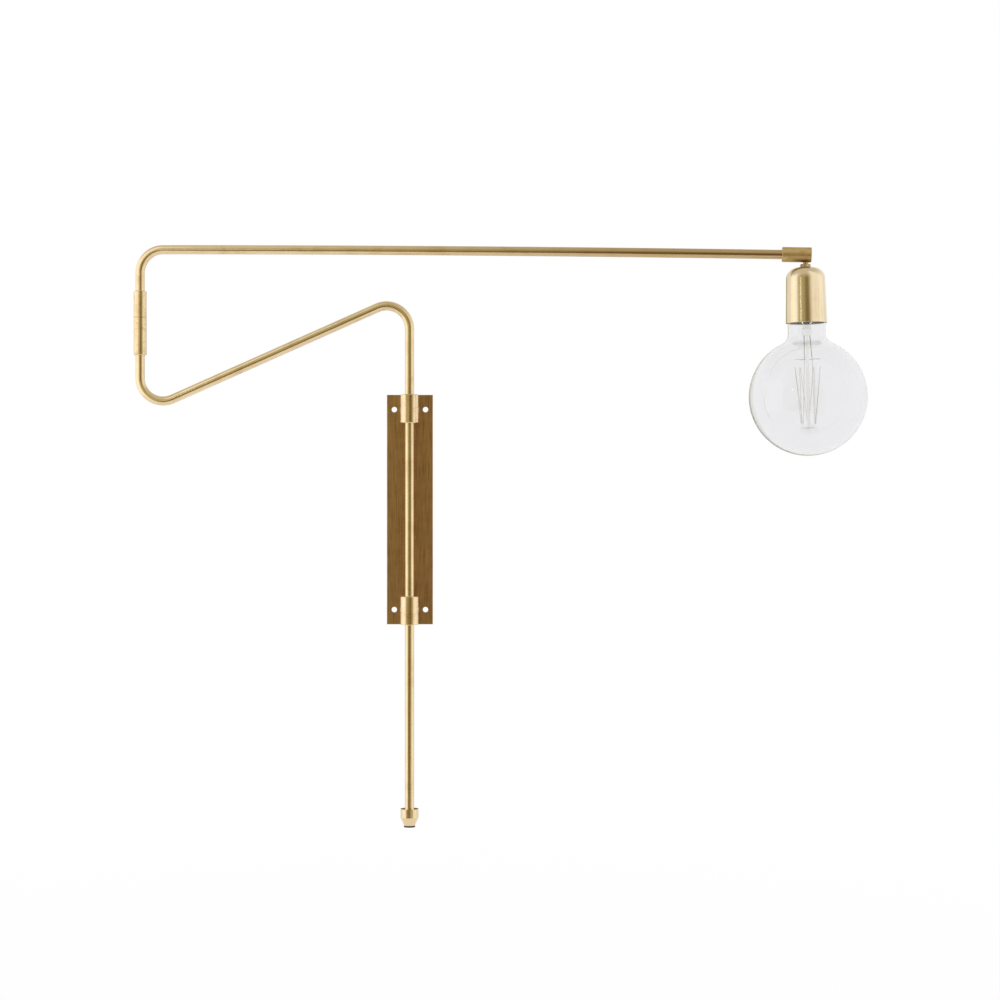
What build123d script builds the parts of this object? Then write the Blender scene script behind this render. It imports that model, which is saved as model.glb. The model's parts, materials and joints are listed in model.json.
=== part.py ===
from build123d import *
from math import asin, cos, degrees, radians, sin, sqrt, tan
import os

# Swing arm wall lamp, in millimetres.
# X runs along the wall to the right, Z is up, the wall is the plane Y = 0 and the room is at -Y.
# The origin is the centre of the wall plate's back face.
# At rest the lower arm lies along the wall to the left and the upper arm is folded back over it.

# Fits
running_gap = 0.05
joint_gap = 0.03
thrust_gap = 0.1

# Wall plate
plate_width = 50.0
plate_height = 250.0
plate_thickness = 3.0
plate_edge_break = 0.4
wall_hole_diameter = 6.0
wall_hole_side_inset = 8.0
wall_hole_end_inset = 16.0

# Sleeves that carry the shaft in front of the plate
sleeve_diameter = 20.6
sleeve_length = 31.0
sleeve_flat_depth = 1.3
sleeve_chamfer = 0.6
bush_wall = 1.0
bush_recess = 0.5
sleeve_screw_diameter = 3.0
sleeve_screw_head_diameter = 5.6
sleeve_screw_pitch = 18.0
sleeve_screw_bite = 2.6
grub_screw_diameter = 4.0
grub_screw_recess = 0.3
friction_pad_diameter = 2.6

# Sockets in the heads of the small screws
sleeve_screw_key = 2.0
grub_screw_key = 2.0
key_depth = 1.0

# Tube of both arms and the lead inside it
tube_diameter = 10.0
tube_wall = 1.0
bend_radius = 25.0
lead_diameter = 5.0
core_diameter = 1.2
core_ring_radius = 0.8
core_count = 3
core_start_angle = 90.0

# Lower arm
lower_reach = 292.5
lower_rise_length = 24.7
slope_angle = 24.0
shaft_foot_height = -324.6

# Cord gland at the foot of the shaft
gland_diameter = 19.4
gland_body_length = 9.0
gland_socket_depth = 7.0
gland_spigot_diameter = 13.0
gland_spigot_length = 5.0
gland_cap_length = 9.0
gland_cap_land = 0.9
gland_cap_round = 4.0
gland_end_diameter = 12.3
gland_throat_diameter = 7.4
grommet_flange = 1.8
grommet_neck = 1.2
cord_entry_diameter = 5.3
gland_bore_diameter = 6.4

# Elbow swivel between the arms
elbow_diameter = 14.0
elbow_chamfer = 0.8
coupling_groove_drop = 12.5
coupling_groove_depth = 0.25
lower_coupling_length = 40.5
lower_socket_depth = 24.0
thrust_washer_thickness = 0.5
thrust_washer_inset = 0.5
swivel_housing_length = 13.2
swivel_floor = 4.0
upper_coupling_length = 15.3
coupling_spigot_diameter = 12.0
coupling_spigot_length = 4.2
coupling_lip = 1.0
spindle_diameter = 8.0
spindle_bore_diameter = 5.6
spring_washer_thickness = 0.8
swivel_nut_diameter = 11.2
swivel_nut_thickness = 3.0
nut_slot_width = 1.6
nut_slot_depth = 0.9
spindle_tip = 0.6
stop_pin_diameter = 1.6
stop_pin_circle_radius = 5.5
stop_pin_seat_depth = 3.0
stop_slot_depth = 1.5
stop_pin_tip_gap = 0.3
elbow_travel = 165.0

# Upper arm
arm_height = 282.0
upper_rise_length = 19.7
arm_reach = 717.0
arm_splay = 4.4
arm_lean = 0.5
arm_droop = 0.9

# End block at the tip of the upper arm
block_diameter = 16.0
block_length = 31.0
block_chamfer = 0.5
block_socket_depth = 13.0
block_end_wall = 1.5
block_cavity_diameter = 9.0
stem_inset = 6.0
nut_seat_diameter = 8.4
nut_seat_depth = 4.6
block_flat_depth = 0.2
block_screw_diameter = 3.0

# Ball stem under the block
stem_diameter = 5.6
stem_bore_diameter = 3.2
stem_thread_diameter = 4.8
stem_top_drop = 2.3
stem_washer_thickness = 0.3
stem_nut_thickness = 1.9
stem_nut_width = 7.0
ball_diameter = 8.0
ball_drop = 14.7
ball_mouth_diameter = 5.6
core_tail = 2.0
holder_core_gap = 0.8
neck_lean_limit = 13.5
holder_lean = 1.2

# Ball housing on the crown of the cup
housing_flange_diameter = 12.6
housing_flange_top_diameter = 10.6
housing_flange_height = 3.6
housing_mouth_diameter = 8.6
crown_height = 1.2
housing_barrel_diameter = 10.0
housing_barrel_length = 10.7
seat_land_drop = 1.8
seat_length = 5.0
seat_bore_diameter = 3.8

# Cup over the lamp socket
cup_top_diameter = 40.8
cup_bottom_diameter = 43.8
cup_height = 59.0
cup_wall = 1.2
cup_crown_radius = 12.0
cup_rim_break = 0.3
locknut_width = 14.0
locknut_thickness = 3.8

# Lamp socket, screw size 27 mm
entry_hub_diameter = 14.0
entry_hub_length = 4.6
entry_flange_diameter = 30.0
entry_flange_thickness = 1.6
socket_diameter = 35.0
socket_length = 37.0
socket_edge_round = 1.2
wiring_depth = 5.0
wiring_well_diameter = 15.0
wiring_slot_width = 9.0
wiring_slot_length = 25.6
socket_floor = 5.0
shell_diameter = 27.9
shell_wall = 0.4
shell_lip = 1.0
shell_lip_roll = 0.2
shell_inset = 1.0
socket_screw_diameter = 3.0
socket_screw_length = 7.0
socket_screw_head_diameter = 5.4
socket_screw_head_height = 1.6
socket_screw_offset = 12.0
terminal_length = 5.0
terminal_width = 6.0
terminal_height = 4.0
terminal_offset = 10.0
terminal_screw_diameter = 2.6
terminal_screw_length = 4.6
earth_block_length = 3.6
earth_block_offset = 5.0
contact_strip_width = 5.0
contact_strip_thickness = 0.5
contact_rise = 1.4
collar_gap = 1.0
rivet_diameter = 2.0

# Globe bulb, 125 mm, screw cap 27 mm
globe_diameter = 125.0
globe_drop = 135.9
glass_wall = 0.8
bulb_neck_diameter = 40.0
bulb_neck_blend = 11.0
bulb_shoulder_round = 7.0
cap_diameter = 26.2
cap_root_diameter = 24.4
cap_thread_pitch = 3.63
cap_thread_turns = 5
cap_skirt = 4.0
cap_length = 23.8
cap_wall = 0.4
insulator_height = 2.1
insulator_top_diameter = 11.0
contact_button_diameter = 9.4
contact_button_height = 1.0
stem_tube_diameter = 9.0
stem_wall = 0.8
stem_flare_height = 12.0
press_drop = 67.5
press_height = 7.0
press_width = 10.0
press_thickness = 4.0
rod_diameter = 3.0
rod_foot_drop = 168.9
support_button_diameter = 5.0
support_button_height = 3.0
support_wire_diameter = 0.6
upper_support_drop = 96.1
upper_support_radius = 14.3
lower_support_radius = 8.0
filament_diameter = 0.5
filament_strands = 10
front_angle = -90.0
lead_in_diameter = 0.8
lead_in_spacing = 6.0


# Derived places
sleeve_radius = sleeve_diameter / 2
shaft_y = -(plate_thickness + sleeve_radius - sleeve_flat_depth)
sleeve_flat = sleeve_radius - sleeve_flat_depth
tube_radius = tube_diameter / 2
bush_radius = tube_radius + running_gap + bush_wall
upper_sleeve_height = (plate_height - sleeve_length) / 2
sleeve_heights = (upper_sleeve_height, -upper_sleeve_height)

elbow_radius = elbow_diameter / 2
coupling_top = arm_height - bend_radius - upper_rise_length
housing_top = coupling_top - upper_coupling_length
housing_foot = housing_top - swivel_housing_length
lower_coupling_top = housing_foot - thrust_gap - thrust_washer_thickness
elbow_foot_height = lower_coupling_top - lower_coupling_length
lower_tube_top = elbow_foot_height + lower_socket_depth
lower_bend_tangent = bend_radius * tan(radians(90 + slope_angle) / 2)
lower_corner_height = elbow_foot_height - lower_rise_length - lower_bend_tangent
spring_washer_foot = housing_foot + swivel_floor + thrust_gap
swivel_nut_foot = spring_washer_foot + spring_washer_thickness
spindle_top = swivel_nut_foot + swivel_nut_thickness + spindle_tip
coupling_foot = housing_top - coupling_spigot_length
upper_tube_foot = coupling_foot + coupling_lip

block_radius = block_diameter / 2
stem_from_tube = block_length - block_socket_depth - stem_inset
tip_droop = arm_lean + arm_droop
ball_radius = ball_diameter / 2
stem_radius = stem_diameter / 2
seat_radius = ball_radius + running_gap
housing_flange_top = crown_height + housing_flange_height
opening_angle = asin(stem_radius / seat_radius) + radians(neck_lean_limit)
opening_radius = seat_radius * sin(opening_angle)
opening_height = seat_radius * cos(opening_angle)

crown_inside = crown_height - cup_wall
cup_rim = crown_height - cup_height
locknut_foot = crown_inside - locknut_thickness
entry_flange_top = locknut_foot - entry_hub_length
socket_top = entry_flange_top - entry_flange_thickness
wiring_floor = socket_top - wiring_depth
shell_roof = wiring_floor - socket_floor
socket_foot = socket_top - socket_length
contact_tip = shell_roof - contact_strip_thickness - contact_rise
cap_top = contact_tip - contact_button_height
cap_foot = cap_top - insulator_height - cap_length


def turned(*corners):
    """Solid turned about Z from its outline of (radius, height) corners."""
    return revolve(Plane.XZ * make_face(Polyline(*corners, close=True)), Axis.Z)


def ring(outer_diameter, inner_diameter, low, high):
    """Plain ring about Z between two heights."""
    outer = outer_diameter / 2
    inner = inner_diameter / 2
    return turned((inner, low), (outer, low), (outer, high), (inner, high))


def rod(diameter, low, high):
    """Plain round bar about Z between two heights."""
    return Pos(0, 0, low) * extrude(Circle(diameter / 2), high - low)


def eased_rod(diameter, low, high, ease):
    """Round bar about Z with both end edges chamfered."""
    outer = diameter / 2
    return turned(
        (0, low), (outer - ease, low), (outer, low + ease),
        (outer, high - ease), (outer - ease, high), (0, high),
    )


def hex_bar(width, low, high):
    """Six-sided bar about Z, measured across its flats."""
    return Pos(0, 0, low) * extrude(RegularPolygon(width / 2, 6, major_radius=False), high - low)


def standing_box(length, width, height):
    """Box that stands on the origin."""
    return Box(length, width, height, align=(Align.CENTER, Align.CENTER, Align.MIN))


def hanging_box(length, width, height):
    """Box that hangs from the origin."""
    return Box(length, width, height, align=(Align.CENTER, Align.CENTER, Align.MAX))


def swept(sketch, path):
    """Sketch carried along a path from the path's first point."""
    return sweep(Plane(path @ 0, z_dir=path % 0) * sketch, path=path)


def tube_section():
    """Cross-section of the arm tube."""
    return Circle(tube_radius) - Circle(tube_radius - tube_wall)


def core_section():
    """Cross-section of the three insulated cores of the lead."""
    places = PolarLocations(core_ring_radius, core_count, start_angle=core_start_angle)
    return Sketch() + places * Circle(core_diameter / 2)


def plate_screw_places():
    """Places of the sleeve screws on the plate's back, pointing into the room."""
    return [
        Pos(0, 0, height + side * sleeve_screw_pitch / 2) * Rot(90, 0, 0)
        for height in sleeve_heights
        for side in (1, -1)
    ]


def wall_plate():
    """Flat brass strip with four wall holes and the countersinks of the sleeve screws."""
    plate = Pos(0, -plate_thickness / 2, 0) * Box(plate_width, plate_thickness, plate_height)
    plate = chamfer(plate.faces().sort_by(Axis.Y)[0].edges(), plate_edge_break)
    hole_x = plate_width / 2 - wall_hole_side_inset
    hole_z = plate_height / 2 - wall_hole_end_inset
    hole = Rot(90, 0, 0) * rod(wall_hole_diameter, 0, plate_thickness)
    for x in (-hole_x, hole_x):
        for z in (-hole_z, hole_z):
            plate -= Pos(x, 0, z) * hole
    seat = screw_form(joint_gap)
    for place in plate_screw_places():
        plate -= place * seat
    return plate


def screw_form(gap):
    """Countersunk screw from the plate's back, grown all round by a gap."""
    shank = sleeve_screw_diameter / 2 + gap
    head = sleeve_screw_head_diameter / 2 + gap
    length = plate_thickness + sleeve_screw_bite
    return turned((0, 0), (head, 0), (shank, head - shank), (shank, length), (0, length))


def sleeve_screws():
    """Four countersunk screws that hold the sleeves to the plate from behind."""
    screw = screw_form(0) - hex_bar(sleeve_screw_key, 0, key_depth)
    return [place * screw for place in plate_screw_places()]


def sleeve(height):
    """Thick turned sleeve with a flat that seats on the plate's front."""
    half = sleeve_length / 2
    body = eased_rod(sleeve_diameter, -half, half, sleeve_chamfer)
    body -= rod(2 * (bush_radius + joint_gap), -half, half)
    waste = 2 * sleeve_diameter
    body -= Pos(0, sleeve_flat + waste / 2, 0) * Box(waste, waste, waste)
    hole = Rot(90, 0, 0) * rod(sleeve_screw_diameter + 2 * joint_gap, 0, sleeve_screw_bite + joint_gap)
    for side in (1, -1):
        body -= Pos(0, sleeve_flat, side * sleeve_screw_pitch / 2) * hole
    body -= Rot(0, 90, 0) * rod(grub_screw_diameter + 2 * joint_gap, 0, sleeve_radius)
    return Pos(0, shaft_y, height) * body


def bush(height):
    """Nylon liner in which the shaft turns, pierced for the friction pad."""
    half = sleeve_length / 2 - bush_recess
    liner = ring(2 * bush_radius, tube_diameter + 2 * running_gap, -half, half)
    liner -= Rot(0, 90, 0) * rod(friction_pad_diameter + 2 * joint_gap, 0, sleeve_radius)
    return Pos(0, shaft_y, height) * liner


def shaft_grub_screws():
    """Socket screw in the side of each sleeve, which presses its friction pad."""
    tip = bush_radius + joint_gap
    end = sleeve_radius - grub_screw_recess
    screw = rod(grub_screw_diameter, tip, end) - hex_bar(grub_screw_key, end - key_depth, end)
    return [Pos(0, shaft_y, height) * Rot(0, 90, 0) * screw for height in sleeve_heights]


def shaft_friction_pads():
    """Nylon pads between the grub screws and the shaft."""
    pad = rod(friction_pad_diameter, tube_radius + running_gap, bush_radius + joint_gap)
    return [Pos(0, shaft_y, height) * Rot(0, 90, 0) * pad for height in sleeve_heights]


def lower_arm_path(low, high):
    """Centre line of the lower arm, from a height on the shaft to a height in the elbow."""
    lower_corner = lower_corner_height
    upper_corner = lower_corner + lower_reach * tan(radians(slope_angle))
    path = FilletPolyline(
        (0, low), (0, upper_corner), (-lower_reach, lower_corner), (-lower_reach, high),
        radius=bend_radius,
    )
    return Plane((0, shaft_y, 0), x_dir=(1, 0, 0), z_dir=(0, -1, 0)) * path


def lower_arm_tube():
    """Brass tube bent from the shaft over the slope to the elbow."""
    return swept(tube_section(), lower_arm_path(shaft_foot_height - gland_socket_depth, lower_tube_top))


def lower_arm_lead():
    """Round flex inside the lower arm, from the gland to the top of the elbow spindle."""
    foot = shaft_foot_height - gland_body_length - gland_spigot_length
    return swept(Circle(lead_diameter / 2), lower_arm_path(foot, spindle_top))


def at_shaft(piece):
    """Piece made about the shaft's axis, put in its place."""
    return Pos(0, shaft_y, 0) * piece


def gland_body():
    """Gland nut soldered to the shaft's foot, with the male thread of its cap."""
    top = shaft_foot_height
    shoulder = top - gland_body_length
    spigot = gland_spigot_diameter / 2
    outer = gland_diameter / 2
    bore = gland_bore_diameter / 2
    socket = tube_radius + joint_gap
    body = turned(
        (socket, top), (outer, top), (outer, shoulder), (spigot, shoulder),
        (spigot, shoulder - gland_spigot_length), (bore, shoulder - gland_spigot_length),
        (bore, top - gland_socket_depth), (socket, top - gland_socket_depth),
    )
    return at_shaft(body)


def gland_cap():
    """Cap with a rounded shoulder that tapers to the cord's exit."""
    top = shaft_foot_height - gland_body_length
    foot = top - gland_cap_length
    outer = gland_diameter / 2
    end = gland_end_diameter / 2
    bore = gland_spigot_diameter / 2 + joint_gap
    throat = gland_throat_diameter / 2
    ledge = top - gland_spigot_length - joint_gap
    lip = foot + grommet_neck + joint_gap
    taper = FilletPolyline((outer, top), (outer, top - gland_cap_land), (end, foot), radius=gland_cap_round)
    inside = Polyline((end, foot), (throat, foot), (throat, lip), (bore, ledge), (bore, top), (outer, top))
    return at_shaft(revolve(Plane.XZ * make_face(taper + inside), Axis.Z))


def gland_insert():
    """Nylon ring that the cap squeezes onto the cord."""
    top = shaft_foot_height - gland_body_length - gland_spigot_length
    foot = shaft_foot_height - gland_body_length - gland_cap_length + grommet_neck + joint_gap
    bore = cord_entry_diameter / 2
    throat = gland_throat_diameter / 2
    shoulder = gland_spigot_diameter / 2
    inset = 2 * joint_gap
    insert = turned((bore, foot), (throat - inset, foot), (shoulder - inset, top), (bore, top))
    return at_shaft(insert)


def gland_grommet():
    """Dark end ring with a neck in the cap's throat."""
    cap_end = shaft_foot_height - gland_body_length - gland_cap_length
    bore = cord_entry_diameter / 2
    neck = gland_throat_diameter / 2 - joint_gap
    flange = gland_end_diameter / 2
    foot = cap_end - grommet_flange
    top = cap_end + grommet_neck
    grommet = turned(
        (bore, foot), (flange, foot), (flange, cap_end), (neck, cap_end), (neck, top), (bore, top)
    )
    return at_shaft(grommet)


def at_elbow(piece):
    """Piece of the lower arm made about the elbow's axis, put in its place."""
    return Pos(-lower_reach, shaft_y, 0) * piece


def stop_pin_place():
    """Place of the stop pin, on the side of the elbow that faces away from the shaft."""
    return Pos(-stop_pin_circle_radius, 0, 0)


def coupling_groove(middle):
    """Ring that cuts a fine V-groove round the elbow at a height."""
    depth = coupling_groove_depth
    outer = elbow_radius + depth
    return turned((elbow_radius - depth, middle), (outer, middle - 2 * depth), (outer, middle + 2 * depth))


def lower_coupling():
    """Turned coupling soldered on the lower arm, threaded above for the spindle."""
    low = elbow_foot_height
    high = lower_coupling_top
    body = rod(elbow_diameter, low, high)
    body = chamfer(body.faces().sort_by(Axis.Z)[0].edges(), elbow_chamfer)
    body -= rod(tube_diameter + 2 * joint_gap, low, lower_tube_top)
    body -= rod(spindle_diameter + 2 * joint_gap, lower_tube_top, high)
    body -= stop_pin_place() * rod(stop_pin_diameter + 2 * joint_gap, high - stop_pin_seat_depth, high)
    body -= coupling_groove(high - coupling_groove_drop)
    return at_elbow(body)


def swivel_spindle():
    """Hollow threaded spindle through which the lead crosses the elbow."""
    return at_elbow(ring(spindle_diameter, spindle_bore_diameter, lower_tube_top, spindle_top))


def thrust_washer():
    """Thin washer in the turning seam, held by the stop pin."""
    outer = elbow_diameter - 2 * thrust_washer_inset
    low = lower_coupling_top
    high = low + thrust_washer_thickness
    washer = ring(outer, spindle_diameter + 2 * joint_gap, low, high)
    return at_elbow(washer - stop_pin_place() * rod(stop_pin_diameter + 2 * joint_gap, low, high))


def stop_pin():
    """Steel pin that ends the elbow's swing."""
    low = lower_coupling_top - stop_pin_seat_depth
    high = housing_foot + stop_slot_depth - stop_pin_tip_gap
    return at_elbow(stop_pin_place() * rod(stop_pin_diameter, low, high))


def spring_washer():
    """Washer that keeps the swivel stiff under the nut."""
    low = spring_washer_foot
    high = low + spring_washer_thickness
    return at_elbow(ring(swivel_nut_diameter, spindle_diameter + 2 * joint_gap, low, high))


def swivel_nut():
    """Round slotted nut at the spindle's top."""
    low = swivel_nut_foot
    high = low + swivel_nut_thickness
    nut = ring(swivel_nut_diameter, spindle_diameter + 2 * joint_gap, low, high)
    slot = hanging_box(swivel_nut_diameter, nut_slot_width, nut_slot_depth)
    return at_elbow(nut - Pos(0, 0, high) * slot)


upper_arm_place = Pos(-lower_reach, shaft_y, 0) * Rot(0, 0, -arm_splay)


def stop_slot():
    """Groove under the swivel housing in which the stop pin runs."""
    width = stop_pin_diameter + 2 * thrust_gap
    inner = stop_pin_circle_radius - width / 2
    outer = stop_pin_circle_radius + width / 2
    half_angle = elbow_travel + degrees(asin(stop_pin_diameter / 2 / stop_pin_circle_radius))
    start = (inner, 0, 0)
    section = Plane.XZ * make_face(
        Polyline(start, (outer, 0, 0), (outer, stop_slot_depth, 0), (inner, stop_slot_depth, 0), close=True)
    )
    groove = revolve(section, Axis.Z, revolution_arc=2 * half_angle)
    return Rot(0, 0, 180 - half_angle) * groove


def swivel_housing():
    """Turning ring above the seam, with a floor that the nut holds down."""
    body = rod(elbow_diameter, housing_foot, housing_top)
    body -= rod(spindle_diameter + 2 * running_gap, housing_foot, housing_top)
    well = coupling_spigot_diameter + 2 * joint_gap
    body -= rod(well, housing_foot + swivel_floor, housing_top)
    return upper_arm_place * (body - Pos(0, 0, housing_foot) * stop_slot())


def upper_coupling():
    """Coupling soldered on the upper arm, with a spigot screwed into the swivel housing."""
    outer = elbow_radius
    spigot = coupling_spigot_diameter / 2
    socket = tube_radius + joint_gap
    bore = tube_radius - tube_wall
    edge = elbow_chamfer
    body = turned(
        (bore, coupling_foot), (spigot, coupling_foot), (spigot, housing_top), (outer, housing_top),
        (outer, coupling_top - edge), (outer - edge, coupling_top), (socket, coupling_top),
        (socket, upper_tube_foot), (bore, upper_tube_foot),
    )
    return upper_arm_place * body


arm_run_length = arm_reach - bend_radius - stem_from_tube
sag_radius = arm_run_length / radians(arm_droop)


def upper_arm_path(low):
    """Centre line of the upper arm: a rise, a bend and a long run that sags towards its tip."""
    rise = Line((0, low), (0, arm_height - bend_radius))
    bend = JernArc(rise @ 1, rise % 1, bend_radius, -(90 + arm_lean))
    run = JernArc(bend @ 1, bend % 1, sag_radius, -arm_droop)
    return Plane.XZ * (rise + bend + run)


arm_tip = upper_arm_path(upper_tube_foot) @ 1
block_place = upper_arm_place * Pos(arm_tip.X, 0, arm_tip.Z) * Rot(0, tip_droop, 0)
stem_place = block_place * Pos(stem_from_tube, 0, 0)
head_place = stem_place * Pos(0, 0, -ball_drop) * Rot(0, -(tip_droop + holder_lean), 0)


def upper_arm_tube():
    """Brass tube from the elbow over the first bend to the end block."""
    return upper_arm_place * swept(tube_section(), upper_arm_path(upper_tube_foot))


def upper_arm_lead():
    """Round flex inside the upper arm, from the elbow spindle to the end block."""
    return upper_arm_place * swept(Circle(lead_diameter / 2), upper_arm_path(spindle_top))


def across_block(piece):
    """Piece made about Z, laid along the block's axis and pointing away from the elbow."""
    return Rot(0, 90, 0) * piece


def end_block():
    """Round block at the arm's tip, bored for the tube, the lead and the ball stem."""
    front = block_length - block_socket_depth
    cavity = front - block_end_wall
    body = eased_rod(block_diameter, -block_socket_depth, front, block_chamfer)
    body -= rod(tube_diameter + 2 * joint_gap, -block_socket_depth, 0)
    body -= rod(block_cavity_diameter, 0, cavity)
    body = across_block(body)
    well = rod(nut_seat_diameter, -nut_seat_depth, 0)
    hole = rod(stem_thread_diameter + 2 * running_gap, -block_radius, 0)
    flat = rod(stem_diameter + 2 * thrust_gap, -block_radius, -block_radius + block_flat_depth)
    for cut in (well, hole, flat):
        body -= Pos(stem_from_tube, 0, 0) * cut
    screw_hole = rod(block_screw_diameter + 2 * joint_gap, tube_radius, block_radius)
    body -= Pos(-block_socket_depth / 2, 0, 0) * Rot(-90, 0, 0) * screw_hole
    return block_place * body


def block_screw():
    """Flush socket screw in the back of the end block, which locks the tube."""
    low = tube_radius + joint_gap
    high = block_radius - grub_screw_recess
    screw = rod(block_screw_diameter, low, high) - hex_bar(block_screw_diameter / 2, high - key_depth, high)
    return block_place * Pos(-block_socket_depth / 2, 0, 0) * Rot(-90, 0, 0) * screw


def upper_arm_cores():
    """Three cores stripped from the lead, which turn down to the ball stem."""
    bend = stem_top_drop
    run = Line((0, 0), (stem_from_tube - bend, 0))
    turn = JernArc(run @ 1, run % 1, bend, -90)
    return block_place * swept(core_section(), Plane.XZ * (run + turn))


def ball_stem():
    """Hollow stem that turns in the block, with the ball at its lower end."""
    thread = stem_thread_diameter / 2
    bore = stem_bore_diameter / 2
    mouth = ball_mouth_diameter / 2
    shoulder = -block_radius + block_flat_depth - thrust_gap
    neck = -ball_drop + sqrt(ball_radius**2 - stem_radius**2)
    foot = -ball_drop - sqrt(ball_radius**2 - mouth**2)
    outline = Polyline(
        (mouth, foot), (bore, -ball_drop), (bore, -stem_top_drop), (thread, -stem_top_drop),
        (thread, shoulder), (stem_radius, shoulder), (stem_radius, neck),
    )
    round_side = ThreePointArc((stem_radius, neck), (ball_radius, -ball_drop), (mouth, foot))
    return stem_place * revolve(Plane.XZ * make_face(outline + round_side), Axis.Z)


def stem_washer():
    """Washer between the block and the stem's nut."""
    low = -nut_seat_depth + thrust_gap
    high = low + stem_washer_thickness
    return stem_place * ring(stem_nut_width, stem_thread_diameter + 2 * joint_gap, low, high)


def stem_nut():
    """Hexagon nut that hangs the stem in the block."""
    low = -nut_seat_depth + thrust_gap + stem_washer_thickness
    high = low + stem_nut_thickness
    bore = rod(stem_thread_diameter + 2 * joint_gap, low, high)
    return stem_place * (hex_bar(stem_nut_width, low, high) - bore)


def stem_cores():
    """Cores of the lead inside the stem, down into the ball's open mouth."""
    foot = -ball_drop - core_tail
    cores = Pos(0, 0, foot) * extrude(core_section(), -stem_top_drop - foot)
    return stem_place * cores


def ball_housing():
    """Flanged hollow bolt whose opening holds the ball from above."""
    barrel = housing_barrel_diameter / 2
    foot = crown_height - housing_barrel_length
    outline = Polyline(
        (opening_radius, opening_height), (housing_mouth_diameter / 2, housing_flange_top),
        (housing_flange_top_diameter / 2, housing_flange_top), (housing_flange_diameter / 2, crown_height),
        (barrel, crown_height), (barrel, foot), (seat_radius, foot), (seat_radius, 0),
    )
    half_height = opening_height / 2
    middle = (sqrt(seat_radius**2 - half_height**2), half_height)
    seat = ThreePointArc((seat_radius, 0), middle, (opening_radius, opening_height))
    return head_place * revolve(Plane.XZ * make_face(outline + seat), Axis.Z)


def ball_seat():
    """Nylon plug screwed up under the ball, which sets how stiffly it tilts."""
    outer = seat_radius - joint_gap
    bore = seat_bore_diameter / 2
    top = -seat_land_drop
    foot = top - seat_length
    plug = ring(2 * outer, 2 * bore, foot, top)
    return head_place * (plug - Sphere(seat_radius))


def cup_form(inset):
    """Filled form of the cup, shrunk on all sides but the open one."""
    slope = (cup_bottom_diameter - cup_top_diameter) / 2 / cup_height
    top = cup_top_diameter / 2 - inset
    bottom = top + slope * cup_height
    form = turned((0, cup_rim), (bottom, cup_rim), (top, crown_height - inset), (0, crown_height - inset))
    crown_edge = form.edges().filter_by(GeomType.CIRCLE).sort_by(Axis.Z)[-1]
    return fillet(crown_edge, cup_crown_radius - inset)


def holder_cup():
    """Spun brass cup with a round crown and a slight flare to its open rim."""
    cup = cup_form(0) - cup_form(cup_wall)
    cup -= rod(housing_barrel_diameter + 2 * joint_gap, crown_inside, crown_height)
    rim = cup.faces().sort_by(Axis.Z)[0].edges()
    return head_place * chamfer(rim, cup_rim_break)


def cup_locknut():
    """Hexagon nut under the crown, which holds the cup on the ball housing."""
    nut = hex_bar(locknut_width, locknut_foot, crown_inside)
    return head_place * (nut - rod(housing_barrel_diameter + 2 * joint_gap, locknut_foot, crown_inside))


def socket_screw_places():
    """Places of the two screws that hold the entry flange on the porcelain."""
    return [Pos(0, side * socket_screw_offset, 0) for side in (1, -1)]


def socket_entry():
    """Threaded entry of the lamp socket: a hub on a round flange."""
    hub = rod(entry_hub_diameter, entry_flange_top, locknut_foot)
    entry = hub + rod(entry_flange_diameter, socket_top, entry_flange_top)
    entry -= rod(housing_barrel_diameter + 2 * joint_gap, socket_top, locknut_foot)
    for place in socket_screw_places():
        entry -= place * rod(socket_screw_diameter + 2 * joint_gap, socket_top, entry_flange_top)
    return head_place * entry


def socket_screws():
    """Two cheese-head screws through the entry flange."""
    under = entry_flange_top
    head = rod(socket_screw_head_diameter, under, under + socket_screw_head_height)
    screw = head + rod(socket_screw_diameter, under - socket_screw_length, under)
    return [head_place * place * screw for place in socket_screw_places()]


def terminal_sides():
    """Turns that put a piece on the live and on the neutral side."""
    return [Rot(0, 0, turn) for turn in (0, 180)]


def socket_body():
    """Porcelain body with a wiring space above and the screw shell's room below."""
    body = rod(socket_diameter, socket_foot, socket_top)
    body = fillet(body.edges().filter_by(GeomType.CIRCLE), socket_edge_round)
    body -= rod(wiring_well_diameter, wiring_floor, socket_top)
    slot = hanging_box(wiring_slot_length, wiring_slot_width, wiring_depth)
    body -= Pos(0, 0, socket_top) * slot
    body -= rod(shell_diameter + 2 * joint_gap, socket_foot, shell_roof)
    depth = socket_screw_length - entry_flange_thickness + thrust_gap
    for place in socket_screw_places():
        body -= place * rod(socket_screw_diameter + 2 * joint_gap, socket_top - depth, socket_top)
    rivet = rod(rivet_diameter + 2 * joint_gap, shell_roof, wiring_floor)
    screw = terminal_screw_hole()
    for side in terminal_sides():
        body -= side * Pos(terminal_offset, 0, 0) * rivet
        body -= side * screw
    return head_place * body


def terminal_screw_hole():
    """Hole from the porcelain's side to a terminal's screw."""
    middle = wiring_floor + terminal_height / 2
    start = terminal_offset + terminal_length / 2
    hole = rod(terminal_screw_diameter + 2 * thrust_gap, start, socket_diameter / 2)
    return Pos(0, 0, middle) * Rot(0, 90, 0) * hole


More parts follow.
